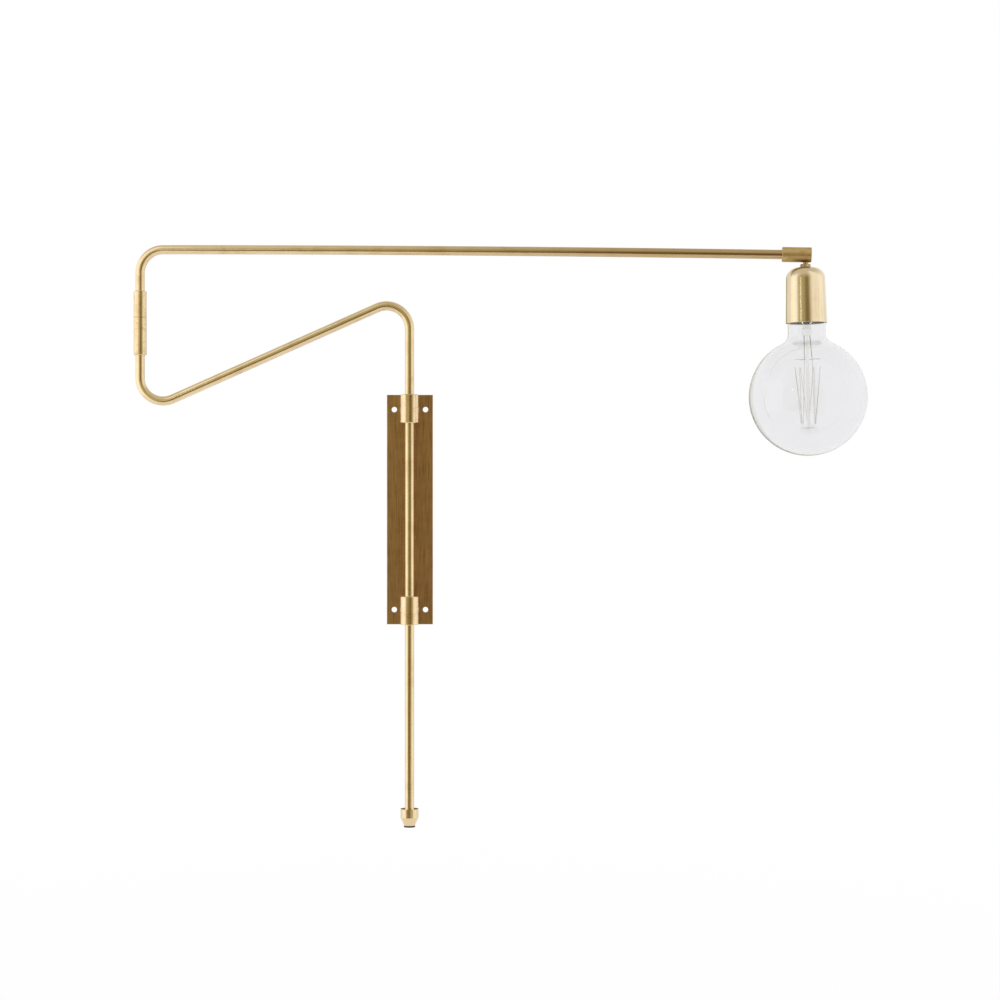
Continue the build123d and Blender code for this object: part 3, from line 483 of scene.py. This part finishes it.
FINISHES = {
    "aged_brass": AGED_PLATE,
    "sleeve_brass": BRUSHED_SLEEVE,
    "tube_brass": DRAWN_TUBE,
    "painted_shade_brass": SHADED_END_TUBE,
    # Tube brass with painted shade towards its far end.
    "elbow_brass": TURNED_ELBOW,
    "block_brass": MATT_BLOCK,
    "cup_brass": SPUN_CUP,
    "turned_brass": TURNED_SMALL,
    # Rolled steel wire and bar, zinc plated: grey and evenly dull.
    "steel": PlainFinish("steel_screw_zinc_plated", "#B4B6B8", "#8F9194", 0.35, 1.0, mottle_mm=1.5),
    # Rolled sheet with a bright nickel plate.
    "nickel": PlainFinish("brass_cap_nickel_plated", "#C9C5BC", "#ADA79B", 0.22, 1.0, mottle_mm=3.0),
    # Moulded nylon, milky and slightly glossy.
    "nylon": PlainFinish("nylon_moulded", "#E6E2D6", "#D8D3C4", 0.45, ior=1.53, mottle_mm=3.0),
    # Moulded rubber, nearly black and matt.
    "grommet_rubber": PlainFinish("rubber_grommet_moulded", "#2E2A26", "#221F1C", 0.6, ior=1.52),
    # Extruded vinyl sheath, dark brown and smooth.
    "lead_sheath": PlainFinish("vinyl_sheath_extruded", "#3A2F25", "#2D241C", 0.4, ior=1.53),
    # Extruded vinyl over the cores, smooth.
    "core_insulation": PlainFinish("vinyl_core_extruded", "#8A5A34", "#7A4D2B", 0.4, ior=1.53),
    # Slip-cast porcelain under a clear glaze.
    "porcelain": PlainFinish("porcelain_glazed", "#F0EDE4", "#E6E2D8", 0.18, ior=1.5, coat=0.5),
    # Poured black glass between cap and button.
    "black_glass": PlainFinish("glass_black_poured", "#1C1A1A", "#121111", 0.1, ior=1.52),
    # Soda-lime glass blown thin.
    "clear_glass": GlassFinish("glass_globe_blown", "#F4F4F5"),
    # Drawn lead-glass tube and rod, pressed flat at the wires.
    "stem_glass": GlassFinish("glass_stem_drawn", "#F6F8F4", ior=1.52),
    # Drawn molybdenum wire, set near white as painted light, so that it stays pale though little light reaches it
    # through the glass.
    "support_wire": PlainFinish("molybdenum_wire_drawn", "#FBF9F4", "#F0EDE6", 0.5, 1.0, mottle_mm=1.0),
    # Finely coiled wire, set near white as painted light, so that it stays pale though little light reaches it
    # through the glass.
    "filament": PlainFinish("filament_coiled_painted_pale", "#FFFAF0", "#FBF3E4", 0.5, mottle_mm=2.0),
}


def new_mesh() -> bmesh.types.BMesh:
    """Start a mesh whose points remember their place on the straight stock."""
    mesh = bmesh.new()
    mesh.verts.layers.float_vector.new("unbent")
    return mesh


class Carrier:
    """Carries a vertex or a ring along straight runs and bends in the plane of X and Z."""

    def __init__(
        self, mesh: bmesh.types.BMesh, place: Vector, heading: Vector,
        verts: list[bmesh.types.BMVert], edges: list[bmesh.types.BMEdge],
    ) -> None:
        """Take hold of the first vertex or ring.

        Args:
            mesh: Mesh that grows.
            place: Point on the path where the carried geometry stands.
            heading: Direction in which it sets off.
            verts: Vertices to carry.
            edges: Edges among them, none for a single vertex.
        """
        self.mesh = mesh
        self.place = place.copy()
        self.heading = heading.normalized()
        self.verts = verts
        self.edges = edges
        self.run = 0.0
        self.unbent = mesh.verts.layers.float_vector["unbent"]
        for vert in verts:
            vert[self.unbent] = vert.co - place

    def grow(self, length: float) -> None:
        """Extrude what is carried and note how far along the path it now is.

        Args:
            length: Distance along the path that the new ring gains.
        """
        if self.edges:
            made = bmesh.ops.extrude_edge_only(self.mesh, edges=self.edges)["geom"]
            self.verts = [item for item in made if isinstance(item, bmesh.types.BMVert)]
            fresh = set(self.verts)
            self.edges = [
                item for item in made
                if isinstance(item, bmesh.types.BMEdge) and fresh.issuperset(item.verts)
            ]
        else:
            made = bmesh.ops.extrude_vert_indiv(self.mesh, verts=self.verts)
            self.verts = made["verts"]
        self.run += length
        for vert in self.verts:
            vert[self.unbent].z = self.run

    def straight(self, length: float, steps: int = 1) -> "Carrier":
        """Carry on in a straight line.

        Args:
            length: Distance to go.
            steps: Number of rings on the way.

        Returns:
            The carrier itself.
        """
        part = length / steps
        for _ in range(steps):
            self.grow(part)
            bmesh.ops.translate(self.mesh, verts=self.verts, vec=self.heading * part)
            self.place += self.heading * part
        return self

    def bend(self, radius: float, angle: float, steps: int) -> "Carrier":
        """Carry on round an arc.

        Args:
            radius: Radius of the path's arc.
            angle: Turn in degrees, positive from Z towards X.
            steps: Number of rings on the way.

        Returns:
            The carrier itself.
        """
        side = Matrix.Rotation(radians(90 if angle > 0 else -90), 3, "Y") @ self.heading
        centre = self.place + side * radius
        turn = Matrix.Rotation(radians(angle) / steps, 3, "Y")
        for _ in range(steps):
            self.grow(abs(radians(angle)) * radius / steps)
            bmesh.ops.rotate(self.mesh, verts=self.verts, cent=centre, matrix=turn)
            self.place = centre + turn @ (self.place - centre)
            self.heading = turn @ self.heading
        return self

    def turn(self, angle: float) -> "Carrier":
        """Face another way on the spot, by degrees from Z towards X."""
        self.heading = Matrix.Rotation(radians(angle), 3, "Y") @ self.heading
        return self


def finished(
    name: str, mesh: bmesh.types.BMesh, place: Matrix, body: str, slot: str, stands_for: str,
    finish: str = "",
) -> bpy.types.Object:
    """Turn a worked mesh into a piece of the lamp in place of its plain solid.

    Args:
        name: Name of the piece.
        mesh: Worked mesh, freed here.
        place: Place of the piece in the lamp.
        body: Moving body that carries it.
        slot: Material slot of the part.
        stands_for: Node that the piece is shown for.
        finish: Its finish, where it isn't the slot's own.

    Returns:
        The new object.
    """
    bmesh.ops.remove_doubles(mesh, verts=mesh.verts, dist=MERGE_MM * MM)
    bmesh.ops.recalc_face_normals(mesh, faces=mesh.faces)
    bmesh.ops.transform(mesh, matrix=place, verts=mesh.verts)
    for edge in mesh.edges:
        # A sharp rim keeps the normals of a wall's end out of the shading of its sides.
        edge.smooth = not edge.is_boundary
    data = bpy.data.meshes.new(name)
    mesh.to_mesh(data)
    mesh.free()
    data.shade_smooth()
    piece = bpy.data.objects.new(name, data)
    bpy.context.scene.collection.objects.link(piece)
    data.materials.append(MATERIALS[finish or slot])
    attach(piece, body)
    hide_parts(stands_for)
    LOG.info("%s: %d faces", name, len(data.polygons))
    return piece


def walled(piece: bpy.types.Object, wall: float) -> None:
    """Give a piece made as a skin its wall, on the inside.

    Args:
        piece: Piece whose faces point outwards.
        wall: Thickness of the wall.
    """
    solid = piece.modifiers.new("wall", "SOLIDIFY")
    solid.thickness = wall
    solid.offset = -1.0
    solid.use_even_offset = True


@dataclass
class TubeArms:
    """The two bent tubes, drawn round and smooth."""

    tube_mm: float = 10.0
    wall_mm: float = 1.0
    bend_mm: float = 25.0
    shaft_gap_mm: float = 12.0
    reach_mm: float = 292.5
    slope_angle: float = 24.0
    shaft_foot_mm: float = -331.6
    lower_corner_mm: float = 104.503
    lower_top_mm: float = 191.7
    upper_foot_mm: float = 218.8
    upper_height_mm: float = 282.0
    upper_reach_mm: float = 717.0
    stem_from_tube_mm: float = 12.0
    splay: float = 4.4
    lean: float = 0.5
    droop: float = 0.9
    sides: int = 48
    shaft_rings: int = 8
    slope_rings: int = 4
    lower_bend_rings: int = 38
    upper_bend_rings: int = 30
    sag_rings: int = 24

    def tube(self, foot_mm: float) -> tuple[bmesh.types.BMesh, Carrier]:
        """Start a tube with a ring at a height on the Z axis.

        Args:
            foot_mm: Height of the ring.

        Returns:
            The mesh and its carrier, heading up.
        """
        mesh = new_mesh()
        place = Vector((0, 0, foot_mm * MM))
        ring = bmesh.ops.create_circle(
            mesh, segments=self.sides, radius=self.tube_mm / 2 * MM, matrix=Matrix.Translation(place)
        )["verts"]
        return mesh, Carrier(mesh, place, Vector((0, 0, 1)), ring, list(mesh.edges))

    def lower(self) -> bpy.types.Object:
        """Bend the lower tube from the shaft over the slope to the elbow."""
        turn = 90 + self.slope_angle
        tangent = self.bend_mm * tan(radians(turn) / 2)
        upper_corner = self.lower_corner_mm + self.reach_mm * tan(radians(self.slope_angle))
        slope = self.reach_mm / cos(radians(self.slope_angle))
        mesh, carrier = self.tube(self.shaft_foot_mm)
        carrier.straight((upper_corner - tangent - self.shaft_foot_mm) * MM, self.shaft_rings)
        carrier.bend(self.bend_mm * MM, -turn, self.lower_bend_rings)
        carrier.straight((slope - 2 * tangent) * MM, self.slope_rings)
        carrier.bend(self.bend_mm * MM, turn, self.lower_bend_rings)
        carrier.straight((self.lower_top_mm - self.lower_corner_mm - tangent) * MM)
        place = Matrix.Translation((0, -self.shaft_gap_mm * MM, 0))
        piece = finished("lower_tube", mesh, place, "lower_arm", "tube_brass", "lower_arm_tube")
        walled(piece, self.wall_mm * MM)
        return piece

    def upper(self) -> bpy.types.Object:
        """Bend the upper tube from the elbow and let its long run sag."""
        run = self.upper_reach_mm - self.bend_mm - self.stem_from_tube_mm
        mesh, carrier = self.tube(self.upper_foot_mm)
        carrier.straight((self.upper_height_mm - self.bend_mm - self.upper_foot_mm) * MM)
        carrier.bend(self.bend_mm * MM, 90 + self.lean, self.upper_bend_rings)
        carrier.bend(run / radians(self.droop) * MM, self.droop, self.sag_rings)
        place = Matrix.Translation((-self.reach_mm * MM, -self.shaft_gap_mm * MM, 0))
        place = place @ Matrix.Rotation(radians(-self.splay), 4, "Z")
        # The upper tube takes the brass with painted shade towards its far end.
        piece = finished(
            "upper_tube", mesh, place, "upper_arm", "tube_brass", "upper_arm_tube", "painted_shade_brass"
        )
        walled(piece, self.wall_mm * MM)
        return piece

    def build(self) -> None:
        """Make both tubes."""
        self.lower()
        self.upper()


@dataclass
class Bulb:
    """The clear globe with its neck, hung from the holder's ball."""

    globe_mm: float = 125.0
    drop_mm: float = 135.9
    wall_mm: float = 0.8
    neck_mm: float = 40.0
    blend_mm: float = 11.0
    shoulder_mm: float = 7.0
    mouth_mm: float = -48.8
    throat_mm: float = 23.54
    throat_rise_mm: float = 4.0
    globe_rings: int = 72
    blend_rings: int = 14
    shoulder_rings: int = 12
    spin_steps: int = 144

    def place(self) -> Matrix:
        """Place of the holder's frame, from the ball's centre and the globe's middle."""
        tilt = next(joint for joint in frame["joints"] if joint["name"] == "head_tilt")
        ball = Vector(tilt["pos_m"])
        low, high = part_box("bulb_glass")
        radius = self.globe_mm / 2 * MM
        middle = Vector(((low.x + high.x) / 2, (low.y + high.y) / 2, low.z + radius))
        up = (ball - middle).normalized()
        return Matrix.Translation(ball) @ up.to_track_quat("Z", "X").to_matrix().to_4x4()

    def glass(self) -> bpy.types.Object:
        """Blow the globe: carry one point up its outline and spin that about the axis."""
        radius = self.globe_mm / 2
        blend_x = self.neck_mm / 2 + self.blend_mm
        open_angle = degrees(asin(blend_x / (radius + self.blend_mm)))
        flare_top = -self.drop_mm + sqrt((radius + self.blend_mm) ** 2 - blend_x**2)
        mesh = new_mesh()
        start = Vector((0, 0, (-self.drop_mm - radius) * MM))
        point = bmesh.ops.create_vert(mesh, co=start)["vert"]
        carrier = Carrier(mesh, start, Vector((1, 0, 0)), point, [])
        carrier.bend(radius * MM, open_angle - 180, self.globe_rings)
        carrier.bend(self.blend_mm * MM, 90 - open_angle, self.blend_rings)
        carrier.straight((self.mouth_mm - self.shoulder_mm - flare_top) * MM)
        carrier.bend(self.shoulder_mm * MM, -90, self.shoulder_rings)
        carrier.straight((self.neck_mm / 2 - self.shoulder_mm - self.throat_mm / 2) * MM)
        carrier.turn(90).straight(self.throat_rise_mm * MM)
        bmesh.ops.spin(
            mesh, geom=mesh.verts[:] + mesh.edges[:], cent=(0, 0, 0), axis=(0, 0, 1),
            angle=2 * pi, steps=self.spin_steps, use_merge=True,
        )
        piece = finished("bulb_globe", mesh, self.place(), "lamp_head", "clear_glass", "bulb_glass")
        walled(piece, self.wall_mm * MM)
        return piece

    def build(self) -> None:
        """Make the glass."""
        self.glass()


@dataclass
class Dressing:
    """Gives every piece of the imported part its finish."""

    def build(self) -> None:
        """Assign each node the material of its slot."""
        for part in frame["record"]["subparts"]:
            node = frame["nodes"][part["node"]]
            node.data.materials.clear()
            node.data.materials.append(MATERIALS[part["material_slot"]])
            LOG.info("%s: %s", part["node"], node.data.materials[0].name)


def staged(name: str, mesh: bmesh.types.BMesh) -> bpy.types.Object:
    """Turn a worked mesh into an object of the studio.

    Args:
        name: Name of the object.
        mesh: Worked mesh, freed here.

    Returns:
        The new object, which is no part of the lamp.
    """
    data = bpy.data.meshes.new(name)
    mesh.to_mesh(data)
    mesh.free()
    thing = bpy.data.objects.new(name, data)
    bpy.context.scene.collection.objects.link(thing)
    return thing


def bare_material(name: str) -> tuple[bpy.types.Material, bpy.types.NodeTree]:
    """Start a material of the studio without any node.

    Args:
        name: Name of the real material and how its surface was made.

    Returns:
        The material and its empty node tree.
    """
    material = bpy.data.materials.new(name)
    material.use_nodes = True
    material.node_tree.nodes.clear()
    return material, material.node_tree


def mirrored_only(thing: bpy.types.Object, material: bpy.types.Material) -> None:
    """Show an object of the studio in reflections and nowhere else.

    Args:
        thing: Object of the studio.
        material: Glowing material that it gets, which is no lamp of its own.
    """
    material.cycles.emission_sampling = "NONE"
    thing.data.materials.append(material)
    thing.visible_camera = False
    thing.visible_diffuse = False
    thing.visible_transmission = False
    thing.visible_shadow = False


def seen_rays(tree: bpy.types.NodeTree) -> Any:
    """Tell the rays that show a background from the rays that carry its light.

    Args:
        tree: Node tree that gets the nodes.

    Returns:
        Socket that is one for what the camera sees, straight, in metal or through glass.
    """
    path = add_node(tree, "ShaderNodeLightPath").outputs
    seen = path["Is Camera Ray"]
    for kind in ("Is Glossy Ray", "Is Transmission Ray"):
        seen = reckoned(tree, "MAXIMUM", seen, path[kind])
    return seen


@dataclass(frozen=True)
class Shade:
    """Round soft-edged dark on the screen, seen only in reflections.

    Angles are in degrees. The azimuth runs from the camera's side to the right. Full tells how far
    from its middle the dark is whole, and gone where it has faded out.
    """

    azimuth: float
    elevation: float
    full: float
    gone: float
    colour: str

    def share(self, tree: bpy.types.NodeTree, direction: Any) -> Any:
        """Tell how much of the dark a direction meets.

        Args:
            tree: Node tree that gets the nodes.
            direction: Socket with the direction, of length one.

        Returns:
            Socket that is one in the dark and zero outside it.
        """
        rise = radians(self.elevation)
        turn = radians(self.azimuth)
        middle = (sin(turn) * cos(rise), -cos(turn) * cos(rise), sin(rise))
        towards = add_node(
            tree, "ShaderNodeVectorMath", {"operation": "DOT_PRODUCT", 1: middle}, {0: direction}
        ).outputs["Value"]
        settings = {
            "interpolation_type": "SMOOTHSTEP", "From Min": radians(self.full),
            "From Max": radians(self.gone), "To Min": 1.0, "To Max": 0.0,
        }
        angle = reckoned(tree, "ARCCOSINE", towards)
        return add_node(tree, "ShaderNodeMapRange", settings, {"Value": angle}).outputs["Result"]


@dataclass(frozen=True)
class Panel:
    """Soft source of light that looks at the lamp, a tall window or a small spot."""

    name: str
    place: tuple[float, float, float]
    width: float
    height: float
    radiance: float


@dataclass
class Studio:
    """Pale floor, soft light, the surroundings that the metal mirrors and a camera in front.

    The opening is the gap in the tent's front, told by its middle, half its width and half the
    width of its soft edge. The tent's left and right are the strengths of its cloth on each side.
    """

    camera_x: float = 0.0982
    camera_distance: float = 2.403
    camera_z: float = 0.01046
    lens_mm: float = 79.3
    sensor_mm: float = 36.0
    floor_drop: float = 0.62
    floor_radius: float = 1.5
    floor_back: float = 0.3
    floor_fade_start: float = 0.75
    floor_glow: float = 0.95
    floor_colour: str = "#F4F4F2"
    round_segments: int = 96
    screen_rings: int = 48
    room_strength: float = 0.9
    screen_radius: float = 1.62
    screen_stretch: float = 1.6
    tent_forward: float = 0.5
    tent_side: float = 2.5
    opening_middle: float = 0.035
    opening_half: float = 0.53
    opening_edge: float = 0.08
    tent_left: float = 1.3
    tent_right: float = 1.12
    shades: tuple[Shade, ...] = (
        Shade(azimuth=0.0, elevation=90.0, full=35.0, gone=62.0, colour="#DAD7CE"),
        Shade(azimuth=0.0, elevation=-5.0, full=40.0, gone=60.0, colour="#BCB68D"),
        Shade(azimuth=-10.0, elevation=-27.0, full=15.0, gone=28.0, colour="#745C3C"),
        Shade(azimuth=13.5, elevation=3.0, full=10.0, gone=22.0, colour="#715B3C"),
        Shade(azimuth=180.0, elevation=-5.0, full=22.0, gone=36.0, colour="#BCB68D"),
        Shade(azimuth=174.0, elevation=-4.0, full=9.0, gone=20.0, colour="#745C3C"),
    )
    panels: tuple[Panel, ...] = (
        Panel("left_window", (-1.6, -0.3, 0.1), 1.7, 1.8, 0.35),
        Panel("right_window", (1.9, -0.55, 0.1), 2.1, 1.8, 0.2),
        Panel("front_spot", (-0.56, -1.31, 0.41), 0.036, 0.036, 24.0),
    )

    def camera(self) -> None:
        """Stand the camera in front of the wall, level."""
        data = bpy.data.cameras.new("camera")
        data.lens = self.lens_mm
        data.sensor_width = self.sensor_mm
        camera = bpy.data.objects.new("camera", data)
        camera.location = (self.camera_x, -self.camera_distance, self.camera_z)
        camera.rotation_euler = (radians(90), 0, 0)
        bpy.context.scene.collection.objects.link(camera)
        bpy.context.scene.camera = camera

    def world(self) -> None:
        """Light the room evenly, and show white to the camera, to metal and through glass."""
        world = bpy.data.worlds.new("white_room")
        world.use_nodes = True
        bpy.context.scene.world = world
        tree = world.node_tree
        tree.nodes.clear()
        light = add_node(
            tree, "ShaderNodeBackground", {"Color": WHITE, "Strength": self.room_strength}
        ).outputs["Background"]
        white = add_node(tree, "ShaderNodeBackground", {"Color": WHITE}).outputs["Background"]
        shown = add_node(
            tree, "ShaderNodeMixShader", links={0: seen_rays(tree), 1: light, 2: white}
        ).outputs["Shader"]
        add_node(tree, "ShaderNodeOutputWorld", links={"Surface": shown})

    def screen(self) -> None:
        """Stand a screen all round the lamp, white with soft darks, for reflections alone."""
        mesh = bmesh.new()
        wide = Matrix.Diagonal((self.screen_stretch, 1.0, 1.0, 1.0))
        bmesh.ops.create_uvsphere(
            mesh, u_segments=self.round_segments, v_segments=self.screen_rings,
            radius=self.screen_radius, matrix=wide,
        )
        bmesh.ops.reverse_faces(mesh, faces=mesh.faces)
        screen = staged("room_screen", mesh)
        material, tree = bare_material("cloth_screen_shaded")
        place = add_node(tree, "ShaderNodeTexCoord").outputs["Object"]
        direction = add_node(
            tree, "ShaderNodeVectorMath", {"operation": "NORMALIZE"}, {0: place}
        ).outputs["Vector"]
        colour = add_node(tree, "ShaderNodeRGB").outputs["Color"]
        colour.default_value = WHITE
        for shade in self.shades:
            colour = mixed(tree, shade.share(tree, direction), colour, linear(shade.colour))
        glow = add_node(tree, "ShaderNodeEmission", links={"Color": colour}).outputs["Emission"]
        add_node(tree, "ShaderNodeOutputMaterial", links={"Surface": glow})
        mirrored_only(screen, material)

    def cloth(self, tree: bpy.types.NodeTree) -> Any:
        """Shade the tent's front as cloth that glows on both sides of an upright opening.

        Args:
            tree: Node tree that gets the nodes.

        Returns:
            Socket with the surface.
        """
        half, edge = self.opening_half, self.opening_edge
        place = add_node(tree, "ShaderNodeTexCoord").outputs["Object"]
        across = add_node(tree, "ShaderNodeSeparateXYZ", links={"Vector": place}).outputs["X"]
        offset = reckoned(tree, "SUBTRACT", across, self.opening_middle)
        closed = spread(tree, reckoned(tree, "ABSOLUTE", offset), half - edge, half + edge, 0.0, 1.0)
        power = spread(tree, offset, -half, half, self.tent_left, self.tent_right)
        glow = add_node(tree, "ShaderNodeEmission", links={"Strength": power}).outputs["Emission"]
        hole = add_node(tree, "ShaderNodeBsdfTransparent").outputs["BSDF"]
        return add_node(
            tree, "ShaderNodeMixShader", links={0: closed, 1: hole, 2: glow}
        ).outputs["Shader"]

    def tent(self) -> None:
        """Stand the front of a white tent before the lamp, for reflections alone."""
        mesh = bmesh.new()
        turn = Matrix.Rotation(radians(90), 4, "X")
        place = Matrix.Translation((0, -self.tent_forward, 0)) @ turn
        bmesh.ops.create_grid(mesh, x_segments=1, y_segments=1, size=self.tent_side, matrix=place)
        front = staged("tent_front", mesh)
        material, tree = bare_material("cloth_tent_white")
        add_node(tree, "ShaderNodeOutputMaterial", links={"Surface": self.cloth(tree)})
        mirrored_only(front, material)

    def paper(self, tree: bpy.types.NodeTree, middle: Sequence[float]) -> Any:
        """Shade the floor as white paper that keeps a shadow and turns into the background.

        Args:
            tree: Node tree that gets the nodes.
            middle: Middle of the floor.

        Returns:
            Socket with the surface.
        """
        matt = add_node(
            tree, "ShaderNodeBsdfDiffuse", {"Color": linear(self.floor_colour)}
        ).outputs["BSDF"]
        glow = add_node(tree, "ShaderNodeEmission", {"Color": WHITE}).outputs["Emission"]
        spot = add_node(tree, "ShaderNodeTexCoord").outputs["Object"]
        away = add_node(
            tree, "ShaderNodeVectorMath", {"operation": "DISTANCE", 1: middle}, {0: spot}
        ).outputs["Value"]
        fade = spread(tree, away, self.floor_fade_start, self.floor_radius, self.floor_glow, 1.0)
        share = reckoned(tree, "MULTIPLY", fade, seen_rays(tree))
        return add_node(
            tree, "ShaderNodeMixShader", links={0: share, 1: matt, 2: glow}
        ).outputs["Shader"]

    def floor(self) -> None:
        """Lay a round white floor well below the lamp."""
        mesh = bmesh.new()
        middle = (0, self.floor_back, -self.floor_drop)
        bmesh.ops.create_circle(
            mesh, cap_ends=True, segments=self.round_segments, radius=self.floor_radius,
            matrix=Matrix.Translation(middle),
        )
        floor = staged("floor", mesh)
        material, tree = bare_material("paper_floor_white")
        add_node(tree, "ShaderNodeOutputMaterial", links={"Surface": self.paper(tree, middle)})
        floor.data.materials.append(material)

    def window(self, panel: Panel) -> None:
        """Hang one soft source of light that looks at the lamp.

        Args:
            panel: Its name, place, size and radiance.
        """
        data = bpy.data.lights.new(panel.name, "AREA")
        data.shape = "RECTANGLE"
        data.size = panel.width
        data.size_y = panel.height
        data.energy = panel.radiance * pi * panel.width * panel.height
        window = bpy.data.objects.new(panel.name, data)
        window.location = panel.place
        window.rotation_euler = Vector(panel.place).to_track_quat("Z", "Y").to_euler()
        window.visible_camera = False
        window.visible_transmission = False
        bpy.context.scene.collection.objects.link(window)

    def build(self) -> None:
        """Set up the camera, the light, what the metal mirrors and the floor."""
        bpy.context.scene.view_settings.view_transform = "Standard"
        self.camera()
        self.world()
        self.screen()
        self.tent()
        self.floor()
        for panel in self.panels:
            self.window(panel)


MATERIALS = {slot: finish.material() for slot, finish in FINISHES.items()}


def main() -> None:
    """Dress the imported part, add the smooth pieces and set the stage."""
    logging.basicConfig(level=logging.INFO, format="%(message)s")
    for assembly in (Dressing(), TubeArms(), Bulb(), Studio()):
        LOG.info("building %s", type(assembly).__name__)
        assembly.build()


if __name__ == "__main__":
    main()
